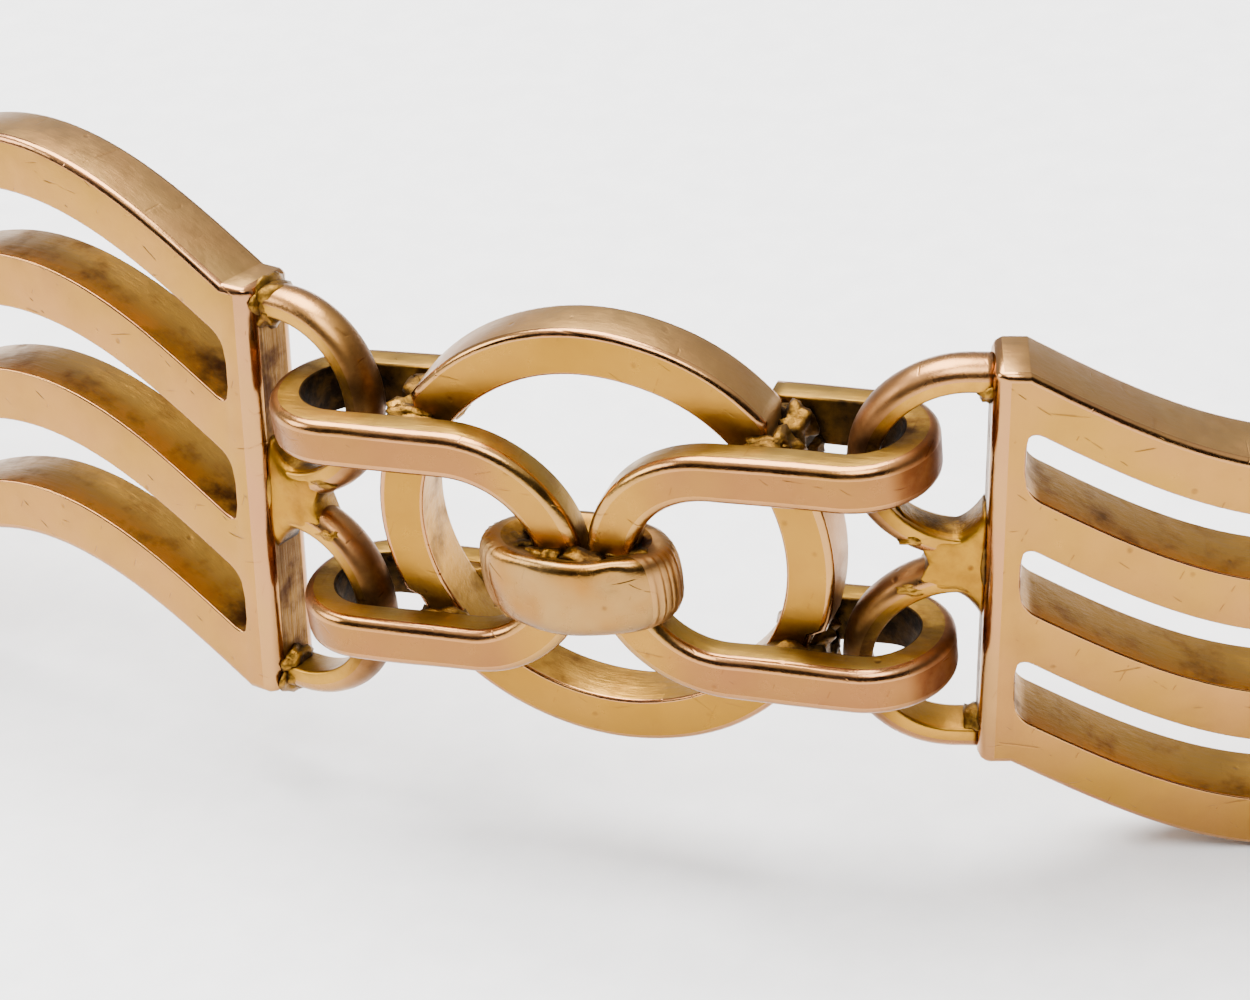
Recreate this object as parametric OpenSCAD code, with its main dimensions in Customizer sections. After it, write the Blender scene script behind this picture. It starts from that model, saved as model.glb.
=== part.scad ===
// Gate-link pocket watch chain, standing on edge in a shallow arc.
// X runs along the chain, Y points away from the front of the arc, Z is up, and
// the floor is the plane z = 0. The middle knot link is the arc's nearest point.

/* [Gate panels] */
// Length of a gate panel between its end posts' outer faces
gate_len = 22; // [18:0.5:26]
// Height of a gate panel's end post
gate_h = 8.8; // [8.4:0.1:9.2]
// Depth of a gate panel from front to back
gate_depth = 1.4; // [1.2:0.1:1.6]
// Height of each of the four wavy bars
bar_h = 1.15; // [1:0.05:1.25]
// Width of the upright post at each end
post_w = 0.65; // [0.5:0.05:0.8]
// Rise and fall of the wave
wave = 2; // [1:0.1:2.5]
// Distance from an end face to the wave's crest or trough
crest_at = 6; // [5:0.5:7]
// Corner radius of the slots
slot_r = 0.3; // [0.1:0.05:0.4]

/* [Panel end loops] */
// How far a loop stands out of the end post
loop_reach = 2.55; // [2.4:0.05:3]
// Thickness of the loop wire, seen from the front
loop_wire = 0.55; // [0.5:0.05:0.6]
// Depth of the loop wire from front to back
loop_depth = 0.8; // [0.7:0.05:0.85]

/* [Knot links] */
// Outer radius of the knot ring
ring_r = 4.55; // [4.4:0.05:4.7]
// Width of the knot ring's flat band
ring_band = 0.96; // [0.9:0.02:1.1]
// Thickness of the knot ring
ring_t = 1.1; // [1:0.05:1.2]
// Distance from the knot's centre to the centre of a hairpin's bend
bend_x = 5; // [5:0.05:5.4]
// Inner radius of a hairpin's bend
bend_r = 0.88; // [0.83:0.01:0.9]
// Thickness of the hairpin strip
strip_t = 0.66; // [0.6:0.02:0.76]
// Distance from the knot's centre to the panel loop wire at its left
hinge_left = 4.88; // [4.75:0.01:5]
// Distance from the knot's centre to the panel loop wire at its right
hinge_right = 4.87; // [4.75:0.01:5]
// Height of the hairpin strip
strip_h = 0.95; // [0.8:0.05:1]
// Height of a hairpin's legs over the knot's centre line
leg_z = 2.17; // [2.05:0.01:2.3]
// Width of the collar that gathers the front legs
collar_w = 4; // [3.8:0.1:4.2]
// Depth of the collar from front to back
collar_d = 2.2; // [2:0.05:2.25]
// Height of the collar
collar_h = 1.65; // [1.4:0.05:1.7]

/* [Small rings] */
// Mean radius of the jump ring at each end of the chain
jump_r = 2.4; // [2.35:0.05:2.45]
// Mean radius of the link between the jump ring and the clip
link_r = 2; // [1.95:0.05:2.05]
// Wire radius of these rings
jump_wire = 0.4; // [0.35:0.05:0.4]

/* [T-bar] */
// Length of the T-bar between its end beads' outer faces
tbar_len = 26; // [20:1:30]
// Radius of the T-bar's rod
tbar_r = 1.1; // [0.9:0.05:1.2]
// Radius of the T-bar's end beads
bead_r = 1.6; // [1.5:0.1:1.6]

/* [Swivel clip] */
// Inner radius of the clip's hook
hook_r = 3.6; // [3.4:0.1:3.8]
// Width of the hook's curved band
hook_band = 1.6; // [1.4:0.1:1.8]
// Thickness of the hook
hook_t = 2.8; // [2.6:0.1:3]
// Radius of the swivel's stem
stem_r = 0.7; // [0.6:0.05:0.75]
// Radius of the swivel's barrel
barrel_r = 1.55; // [1.5:0.05:1.58]
// Radius of the lever's pivot pin
pin_r = 0.4; // [0.3:0.05:0.45]

/* [Pose] */
// Yaw, lean and roll of each link from the T-bar's end to the clip's end
pose = [
    [-54, 0, 0], [-46, 0, 0], [-38, 0, 0], [-30, 0, 0], [-22, -3, 0],
    [-14.5, -6.5, -0.4], [0, 0, -1.6], [17.4, 3.2, 3.8], [25, 1.5, -3],
    [33, 0, 0], [41, 0, 0], [49, 0, 0], [57, 0, 0]
];
// Height of each knot's centre, from the T-bar's end to the clip's end
knot_height = [6.4, 6.4, 6.4, 6.9, 5.8, 6.4, 6.4];
// Shift that centres the standing chain's footprint on the origin
place = [1.66, -38.42, 0];

/* [Hidden] */
$fn = 48;
GATES = 6;
KNOTS = 5;
MIDDLE = 6;
gold = "#d8a27c";
solder = "#e3b65f";
clear = 0.05;

// Gate panel
slot_h = (gate_h - 4 * bar_h) / 3;
bar_pitch = bar_h + slot_h;
step_u = 0.5;

// Loops on the panel ends
loop_r = gate_h / 4 - 0.05;
loop_z = gate_h / 4;
loop_straight = loop_reach - loop_r;
wire_x = gate_len / 2 + loop_reach - loop_wire / 2;

// Knot
ring_mid = ring_r - ring_band / 2;
pad_x = sqrt(ring_mid * ring_mid - leg_z * leg_z);
leg_x = 0.5;
leg_bend = 2.1;
leg_y = bend_r + strip_t / 2;
leg_end = 0.02;
stub_x = 3.1;
collar_x = -0.2;
collar_z = -0.3;
seat = 0.01;

// Jump rings hang at this angle below the knot ring's centre line
hang = -38;
jump_at = ring_r - ring_band - jump_wire - 0.12 + jump_r;
jump_out = jump_at + jump_r;

// T-bar
end_z = knot_height[0];
shackle_r = 1.9;
shackle_z = shackle_r + jump_wire + 0.05;
shackle_x = jump_out * cos(hang) + 0.45;
tbar_reach = shackle_r + jump_wire + tbar_r - 0.3;
tbar_x = shackle_x + sqrt(pow(tbar_reach, 2) - pow(shackle_z - bead_r, 2));

// Swivel clip
clip_link_x = jump_out * cos(hang) + 0.53;
clip_link_z = link_r + jump_wire + 0.02;
clip_z = 1.6;
eye_r = 1.9;
eye_wire = 0.45;
eye_x = clip_link_x + 0.65 + eye_r;
barrel_x = eye_x + eye_r + eye_wire + 0.15;
barrel_len = 3.6;
barrel_wall = 0.8;
head_r = 1.1;
head_len = 1.2;
hook_x = barrel_x + barrel_len + hook_r + hook_band - 0.5;
hook_mid = hook_r + hook_band / 2;
pivot = [hook_x + hook_mid * cos(150), hook_mid * sin(150)];
mouth_r = 6.7;
mouth_x = 1.25;
slot_z = 0.7;
hub_r = 1.1;
fork_r = 2.1;

// Places of the links, worked outwards from the middle knot. Even links are
// knots and odd links are gates.
function spin_y(v, a) = [v.x * cos(a) + v.z * sin(a), v.y, v.z * cos(a) - v.x * sin(a)];
function spin_x(v, a) = [v.x, v.y * cos(a) - v.z * sin(a), v.y * sin(a) + v.z * cos(a)];
function spin_z(v, a) = [v.x * cos(a) - v.y * sin(a), v.x * sin(a) + v.y * cos(a), v.z];
function turned(v, t) = spin_z(spin_x(spin_y(v, t[2]), t[1]), t[0]);
function flat(v) = [v.x, v.y, 0];
function joint_right(i) =
    flat(turned([i % 2 == 0 ? hinge_right : wire_x, 0, 0], pose[i]));
function joint_left(i) =
    flat(turned([i % 2 == 0 ? -hinge_left : -wire_x, 0, 0], pose[i]));
function plan(i) =
    i == MIDDLE ? [0, 0, 0]
    : i > MIDDLE ? plan(i - 1) + joint_right(i - 1) - joint_left(i)
    : plan(i + 1) + joint_left(i + 1) - joint_right(i);
function foot(i, side) =
    turned([crest_at - gate_len / 2, side * gate_depth / 2, -gate_h / 2 - wave], pose[i]).z;
function height(i) =
    i % 2 == 0 ? knot_height[i / 2] : -min(foot(i, -1), foot(i, 1));
function centre(i) = plan(i) + [0, 0, height(i)];

module on_link(i) {
    translate(centre(i) + place)
        rotate([0, 0, pose[i][0]]) rotate([pose[i][1], 0, 0]) rotate([0, pose[i][2], 0])
            children();
}

// A frame at a chain end: the origin is on the floor below the end ring's centre,
// and +X points out along the chain.
module at_end(i) {
    translate(flat(centre(i)) + place)
        rotate([0, 0, pose[i][0] + (i == 0 ? 180 : 0)])
            children();
}

// Turns a profile drawn in X and Z so that its thickness runs along Y
module upright(t) {
    rotate([90, 0, 0]) linear_extrude(height = t, center = true) children();
}

module torus(r, wire) {
    rotate_extrude() translate([r, 0]) circle(r = wire, $fn = 24);
}

function arc(c, r, a0, a1, n = 16) =
    [for (i = [0:n]) c + r * [cos(a0 + (a1 - a0) * i / n), sin(a0 + (a1 - a0) * i / n)]];
function reversed(p) = [for (i = [len(p) - 1:-1:0]) p[i]];

// The wave: flat across the posts, down to a trough, up to a crest and level again
function wave_z(u) =
    u <= post_w || u >= gate_len - post_w ? 0
    : u < crest_at ? -wave * sin(90 * (u - post_w) / (crest_at - post_w))
    : u <= gate_len - crest_at ? -wave * cos(180 * (u - crest_at) / (gate_len - 2 * crest_at))
    : wave * cos(90 * (u - gate_len + crest_at) / (crest_at - post_w));

// Half the height of a slot at a distance from its end, with rounded corners
function slot_half(d) =
    d >= slot_r ? slot_h / 2 : slot_h / 2 - slot_r + sqrt(pow(slot_r, 2) - pow(slot_r - d, 2));

function outline_us() = concat([0], [for (u = [post_w:step_u:gate_len - post_w]) u],
                               [gate_len - post_w, gate_len]);
function slot_us() = concat(
    [for (a = [0:18:90]) post_w + slot_r * (1 - cos(a))],
    [for (u = [post_w + 0.8:step_u:gate_len - post_w - 0.8]) u],
    [for (a = [90:-18:0]) gate_len - post_w - slot_r * (1 - cos(a))]
);

function band(us, top, bottom) = concat(
    [for (i = [0:len(us) - 1]) [us[i] - gate_len / 2, wave_z(us[i]) + top[i]]],
    reversed([for (i = [0:len(us) - 1]) [us[i] - gate_len / 2, wave_z(us[i]) + bottom[i]]])
);

module gate_plate() {
    us = outline_us();
    ss = slot_us();
    half = [for (u = ss) slot_half(min(u - post_w, gate_len - post_w - u))];
    upright(gate_depth) difference() {
        polygon(band(us, [for (u = us) gate_h / 2], [for (u = us) -gate_h / 2]));
        for (k = [-1:1])
            polygon(band(ss, [for (h = half) k * bar_pitch + h], [for (h = half) k * bar_pitch - h]));
    }
}

// Half-round section of the loop wire: flat inside and crowned outside, with the
// outer face at x = 0
module loop_section() {
    y = loop_depth / 2;
    polygon([
        [-loop_wire, -y], [-0.25, -y], [-0.07, -0.3], [0, -0.16],
        [0, 0.16], [-0.07, 0.3], [-0.25, y], [-loop_wire, y]
    ]);
}

// One loop, its feet on the plane x = 0 and its crown at +X
module end_loop() {
    translate([loop_straight, 0, 0]) rotate([90, 0, 0]) rotate([0, 0, -90])
        rotate_extrude(angle = 180) translate([loop_r, 0]) loop_section();
    for (s = [-1, 1])
        rotate([90 - 90 * s, 0, 0]) translate([0, 0, loop_r]) rotate([90, 0, 90])
            linear_extrude(height = loop_straight) rotate([0, 0, 90]) loop_section();
}

module end_loops() {
    translate([gate_len / 2, 0, 0]) {
        for (s = [-1, 1]) translate([0, 0, s * loop_z]) end_loop();
        translate([0, -loop_depth / 2, -loop_wire])
            cube([loop_straight, loop_depth, 2 * loop_wire]);
    }
}

module gate(i) {
    color(gold) on_link(i) gate_plate();
}

module gate_loops(i) {
    color(solder) on_link(i) for (side = [0, 180]) rotate([0, 0, side]) end_loops();
}

// Flat ring with bevelled edges, and the solder pads that carry the hairpin legs
module knot_ring(i, sides = [-1, 1]) {
    bevel = 0.2;
    r0 = ring_r - ring_band;
    t = ring_t / 2;
    color(gold) on_link(i) {
        rotate([90, 0, 0]) rotate_extrude($fn = 96) polygon([
            [r0, -t + bevel], [r0 + bevel, -t], [ring_r - bevel, -t], [ring_r, -t + bevel],
            [ring_r, t - bevel], [ring_r - bevel, t], [r0 + bevel, t], [r0, t - bevel]
        ]);
        for (x = sides, z = [-1, 1], y = [-1, 1])
            translate([x * pad_x, y * (t + bend_r) / 2, z * leg_z])
                cube([0.8, bend_r - t, 0.7], center = true);
    }
}

// A front leg's outline in X and Z: level, then round a bend to the middle
function leg_outline() = let (
    c = [leg_x + leg_bend, leg_z - leg_bend],
    h = strip_h / 2
) concat(
    [[bend_x, leg_z - h]],
    arc(c, leg_bend - h, 90, 180),
    [[leg_x + h, leg_end], [leg_x - h, leg_end]],
    arc(c, leg_bend + h, 180, 90),
    [[bend_x, leg_z + h]]
);

// A strip bent round a panel loop. Its front leg runs in to the collar, and its
// rear leg ends behind the ring.
module hairpin() {
    translate([0, -leg_y, 0]) upright(strip_t) polygon(leg_outline());
    translate([stub_x, bend_r, leg_z - strip_h / 2])
        cube([bend_x - stub_x, strip_t, strip_h]);
    translate([bend_x, 0, leg_z]) rotate([0, 0, -90]) rotate_extrude(angle = 180)
        translate([bend_r, -strip_h / 2]) square([strip_t, strip_h]);
}

module hairpins(i, sides = [0, 1]) {
    color(gold) on_link(i)
        for (x = sides, z = [0, 1]) mirror([x, 0, 0]) mirror([0, 0, z]) hairpin();
}

// How far the front legs' outer sides stand from the middle at a height
function leg_side(z) = let (up = max(abs(z) - leg_z + leg_bend, 0))
    leg_x + leg_bend - sqrt(pow(leg_bend - strip_h / 2, 2) - up * up);

// Oval collar soldered round the four front legs, a little low and to the left
module collar(i) {
    zs = [for (k = [-8:4]) k * 0.15];
    color(gold) on_link(i) translate([0, -leg_y, 0]) difference() {
        translate([collar_x, 0, collar_z]) scale([collar_w / collar_d, 1, 1])
            cylinder(d = collar_d, h = collar_h, center = true, $fn = 96);
        upright(strip_t + 2 * seat) polygon(concat(
            [for (z = zs) [leg_side(z) + seat, z]],
            reversed([for (z = zs) [-leg_side(z) - seat, z]])
        ));
    }
}

module jump_ring(i) {
    color(gold) at_end(i) translate([0, 0, end_z]) rotate([0, -hang, 0])
        translate([jump_at, 0, 0]) torus(jump_r, jump_wire);
}

module bar_shackle() {
    color(gold) at_end(0) difference() {
        translate([shackle_x, 0, shackle_z]) rotate([90, 0, 0]) torus(shackle_r, jump_wire);
        translate([tbar_x, 0, bead_r]) rotate([90, 0, 0])
            cylinder(r = tbar_r, h = 3, center = true);
    }
}

module t_bar() {
    color(gold) at_end(0) translate([tbar_x, 0, bead_r]) rotate([90, 0, 0]) {
        cylinder(r = tbar_r, h = tbar_len - bead_r, center = true);
        for (s = [-1, 1])
            translate([0, 0, s * (tbar_len / 2 - bead_r)]) sphere(r = bead_r);
    }
}

module clip_link() {
    color(gold) at_end(12) translate([clip_link_x, 0, clip_link_z]) rotate([90, 0, 0])
        torus(link_r, jump_wire);
}

// Swivel: a flat eye, and a headed stem that turns in the barrel
module swivel_eye() {
    stem_x = eye_x + eye_r;
    color(gold) at_end(12) translate([0, 0, clip_z]) {
        translate([eye_x, 0, 0]) torus(eye_r, eye_wire);
        translate([stem_x, 0, 0]) rotate([0, 90, 0])
            cylinder(r = stem_r, h = barrel_x + barrel_wall - stem_x + clear);
        translate([barrel_x + barrel_wall + clear, 0, 0]) rotate([0, 90, 0])
            cylinder(r = head_r, h = head_len);
    }
}

module swivel_barrel() {
    color(gold) at_end(12) translate([barrel_x, 0, clip_z]) rotate([0, 90, 0]) difference() {
        cylinder(r = barrel_r, h = barrel_len);
        translate([0, 0, -1]) cylinder(r = stem_r + clear, h = barrel_len);
        translate([0, 0, barrel_wall])
            cylinder(r = head_r + clear, h = head_len + 2 * clear);
    }
}

module hook_ring() {
    difference() {
        cylinder(r = hook_r + hook_band, h = hook_t, center = true, $fn = 96);
        cylinder(r = hook_r, h = hook_t + 1, center = true, $fn = 96);
    }
}

module clip_hook() {
    local = pivot - [hook_x, 0];
    color(gold) at_end(12) translate([hook_x, 0, clip_z]) difference() {
        union() {
            hook_ring();
            translate([-hook_mid - 1, -1.1, -hook_t / 2]) cube([1.8, 2.2, hook_t]);
        }
        // The mouth, which the lever closes
        intersection() {
            translate([local.x, local.y, 0])
                cylinder(r = mouth_r, h = hook_t + 1, center = true, $fn = 96);
            translate([local.x + mouth_x, 0.6, -hook_t]) cube([9, 9, 2 * hook_t]);
        }
        // The fork in which the lever turns, and the pin's bore
        translate([local.x, local.y, 0])
            cylinder(r = fork_r, h = 2 * slot_z, center = true);
        translate([local.x, local.y, 0])
            cylinder(r = pin_r + clear, h = hook_t + 1, center = true);
        // The barrel's end, which this neck is fixed to
        translate([barrel_x + barrel_len - hook_x - 9, -3, -3]) cube([9, 6, 6]);
    }
}

module clip_lever() {
    local = pivot - [hook_x, 0];
    t = 0.9;
    color(gold) at_end(12) translate([hook_x, 0, clip_z]) difference() {
        union() {
            translate([local.x, local.y, -slot_z + clear]) cylinder(r = hub_r, h = t);
            intersection() {
                translate([0, 0, -slot_z + clear]) difference() {
                    cylinder(r = hook_r + hook_band - 0.1, h = t, $fn = 96);
                    translate([0, 0, -1]) cylinder(r = hook_r + 0.1, h = t + 2, $fn = 96);
                }
                translate([local.x, local.y, 0])
                    cylinder(r = mouth_r - 0.2, h = 9, center = true, $fn = 96);
                // Behind the mouth's edge the arm stays within the fork
                union() {
                    translate([local.x, local.y, 0])
                        cylinder(r = fork_r - 0.1, h = 9, center = true);
                    translate([local.x + mouth_x + 2 * clear, 1.2, -5]) cube([9, 9, 10]);
                }
                translate([local.x, 1.2, -5]) cube([9, 9, 10]);
            }
            translate([local.x + 2.6, local.y + 2.2, clear])
                cylinder(r = 0.75, h = 1.8, center = true);
        }
        translate([local.x, local.y, 0]) cylinder(r = pin_r + clear, h = 9, center = true);
    }
}

module lever_pin() {
    color(gold) at_end(12) translate([pivot.x, pivot.y, clip_z])
        cylinder(r = pin_r, h = hook_t, center = true);
}

// A flat coil round the pin, between the lever's hub and the fork
module lever_spring() {
    z0 = 0.3;
    color("silver") at_end(12) translate([pivot.x, pivot.y, clip_z + z0]) difference() {
        cylinder(r = 0.9, h = slot_z - clear - z0);
        translate([0, 0, -1]) cylinder(r = pin_r + 0.1, h = 3);
    }
}

for (n = [1:GATES]) {
    gate(2 * n - 1);
    gate_loops(2 * n - 1);
}
for (n = [1:KNOTS]) {
    knot_ring(2 * n);
    hairpins(2 * n);
    collar(2 * n);
}
knot_ring(0, [1]);  // bar_end_ring
hairpins(0, [0]);  // bar_end_hairpins
collar(0);  // bar_end_collar
knot_ring(12, [-1]);  // clip_end_ring
hairpins(12, [1]);  // clip_end_hairpins
collar(12);  // clip_end_collar
jump_ring(0);  // bar_jump_ring
bar_shackle();
t_bar();
jump_ring(12);  // clip_jump_ring
clip_link();
swivel_eye();
swivel_barrel();
clip_hook();
clip_lever();
lever_pin();
lever_spring();
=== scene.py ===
"""A gate-link pocket watch chain in worn rose gold, standing on edge on a pale floor."""
import math

import bmesh
import bpy
from mathutils import Matrix, Vector, noise


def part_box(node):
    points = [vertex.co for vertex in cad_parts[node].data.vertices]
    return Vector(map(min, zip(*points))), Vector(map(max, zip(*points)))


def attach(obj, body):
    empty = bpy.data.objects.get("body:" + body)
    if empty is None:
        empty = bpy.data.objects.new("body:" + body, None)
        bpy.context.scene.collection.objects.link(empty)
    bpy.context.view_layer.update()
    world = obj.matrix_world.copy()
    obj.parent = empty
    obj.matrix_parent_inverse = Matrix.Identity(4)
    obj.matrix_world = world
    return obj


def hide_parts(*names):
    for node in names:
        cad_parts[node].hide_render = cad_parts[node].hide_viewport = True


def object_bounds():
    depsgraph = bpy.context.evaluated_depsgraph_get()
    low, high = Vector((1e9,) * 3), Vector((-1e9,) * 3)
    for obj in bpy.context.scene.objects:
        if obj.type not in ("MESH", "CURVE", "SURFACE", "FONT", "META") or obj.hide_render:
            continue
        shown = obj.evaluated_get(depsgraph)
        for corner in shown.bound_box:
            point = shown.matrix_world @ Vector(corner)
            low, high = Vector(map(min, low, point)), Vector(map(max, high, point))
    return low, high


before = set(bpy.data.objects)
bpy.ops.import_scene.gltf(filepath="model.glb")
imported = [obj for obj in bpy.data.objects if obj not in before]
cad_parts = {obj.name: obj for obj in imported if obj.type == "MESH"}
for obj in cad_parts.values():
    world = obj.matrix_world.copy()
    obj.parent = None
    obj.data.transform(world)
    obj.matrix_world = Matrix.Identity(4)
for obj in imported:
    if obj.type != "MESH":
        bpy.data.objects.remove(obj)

cad_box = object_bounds()
noise.seed_set(2)  # otherwise noise_vector starts from the time of day

# ---------------------------------------------------------------- sizes, in millimetres, as in the CAD
MM = 0.001
GATE_LEN, GATE_H, GATE_DEPTH = 22.0, 8.8, 1.4
BAR_H, POST_W, WAVE, CREST_AT, SLOT_R = 1.15, 0.65, 2.0, 6.0, 0.3
SLOT_H = (GATE_H - 4 * BAR_H) / 3
PITCH = BAR_H + SLOT_H
LOOP_REACH, LOOP_WIRE, LOOP_DEPTH = 2.55, 0.55, 0.8
LOOP_R = GATE_H / 4 - 0.05
LOOP_Z = GATE_H / 4
LOOP_STRAIGHT = LOOP_REACH - LOOP_R
LOOP_ARM_Z = LOOP_Z + LOOP_R - LOOP_WIRE / 2
RING_R, RING_BAND, RING_T = 4.55, 0.96, 1.1
BEND_X, BEND_R, STRIP_T, STRIP_H = 5.0, 0.88, 0.66, 0.95
LEG_Z, LEG_X, LEG_BEND, LEG_END, STUB_X = 2.17, 0.5, 2.1, 0.02, 3.1
LEG_Y = BEND_R + STRIP_T / 2
COLLAR_W, COLLAR_D, COLLAR_H = 4.0, 2.2, 1.65
COLLAR_X, COLLAR_Z = -0.2, -0.3
FILED, FILED_FROM, FILED_TO = 0.955, 20, 38

# Yaw, lean and roll of each link, in degrees, from the T-bar's end to the clip's end
POSE = [
    (-54, 0, 0), (-46, 0, 0), (-38, 0, 0), (-30, 0, 0), (-22, -3, 0),
    (-14.5, -6.5, -0.4), (0, 0, -1.6), (17.4, 3.2, 3.8), (25, 1.5, -3),
    (33, 0, 0), (41, 0, 0), (49, 0, 0), (57, 0, 0),
]
LINKS = ["bar_end", "gate_1", "knot_1", "gate_2", "knot_2", "gate_3", "knot_3",
         "gate_4", "knot_4", "gate_5", "knot_5", "gate_6", "clip_end"]
BAR_END, CLIP_END = 0, len(LINKS) - 1


def box_centre(node):
    lo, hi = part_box(node)
    return (Vector(lo) + Vector(hi)) / 2


def link_matrix(i):
    """From a link's own millimetres to the row frame in metres."""
    name = LINKS[i]
    centre = box_centre(name if name.startswith("gate") else name + "_ring")
    yaw, lean, roll = (math.radians(a) for a in POSE[i])
    turn = (Matrix.Rotation(yaw, 4, "Z") @ Matrix.Rotation(lean, 4, "X")
            @ Matrix.Rotation(roll, 4, "Y"))
    return Matrix.Translation(centre) @ turn @ Matrix.Scale(MM, 4)


# ---------------------------------------------------------------- materials
def node_tools(mat):
    """Empties a node tree and gives two helpers: one makes a node, one joins two sockets."""
    tree = mat.node_tree
    tree.nodes.clear()

    def new(kind, **values):
        n = tree.nodes.new(kind)
        for key, value in values.items():
            if key.startswith("in_"):
                n.inputs[key[3:].replace("_", " ")].default_value = value
            else:
                setattr(n, key, value)
        return n

    def join(a, b):
        tree.links.new(a, b)

    return new, join


def ramp(new, join, source, stops):
    """A colour ramp over a value: stops are (place, grey or colour)."""
    r = new("ShaderNodeValToRGB")
    r.color_ramp.elements.remove(r.color_ramp.elements[1])
    for k, (place, value) in enumerate(stops):
        e = r.color_ramp.elements[0] if k == 0 else r.color_ramp.elements.new(place)
        e.position = place
        e.color = (*value, 1) if isinstance(value, tuple) else (value, value, value, 1)
    join(source, r.inputs["Fac"])
    return r.outputs["Color"]


def blend_colour(new, join, fac, a, b):
    """A mix of two colours. Each of the three may be a socket or a value."""
    m = new("ShaderNodeMix", data_type="RGBA")
    for socket, value in ((m.inputs[0], fac), (m.inputs[6], a), (m.inputs[7], b)):
        if hasattr(value, "is_output"):
            join(value, socket)
        elif isinstance(value, tuple):
            socket.default_value = (*value, 1)
        else:
            socket.default_value = value
    return m.outputs[2]


RELIEF = 0.035 * MM
SHUT_IN = 1.3 * MM
# Scratches in four directions: angle in degrees, spacing in millimetres and how high the noise
# must be to keep one
SCRATCH_SETS = ((-38, 0.42, 0.585), (14, 0.6, 0.6), (68, 0.5, 0.595), (-8, 0.75, 0.61))


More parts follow.
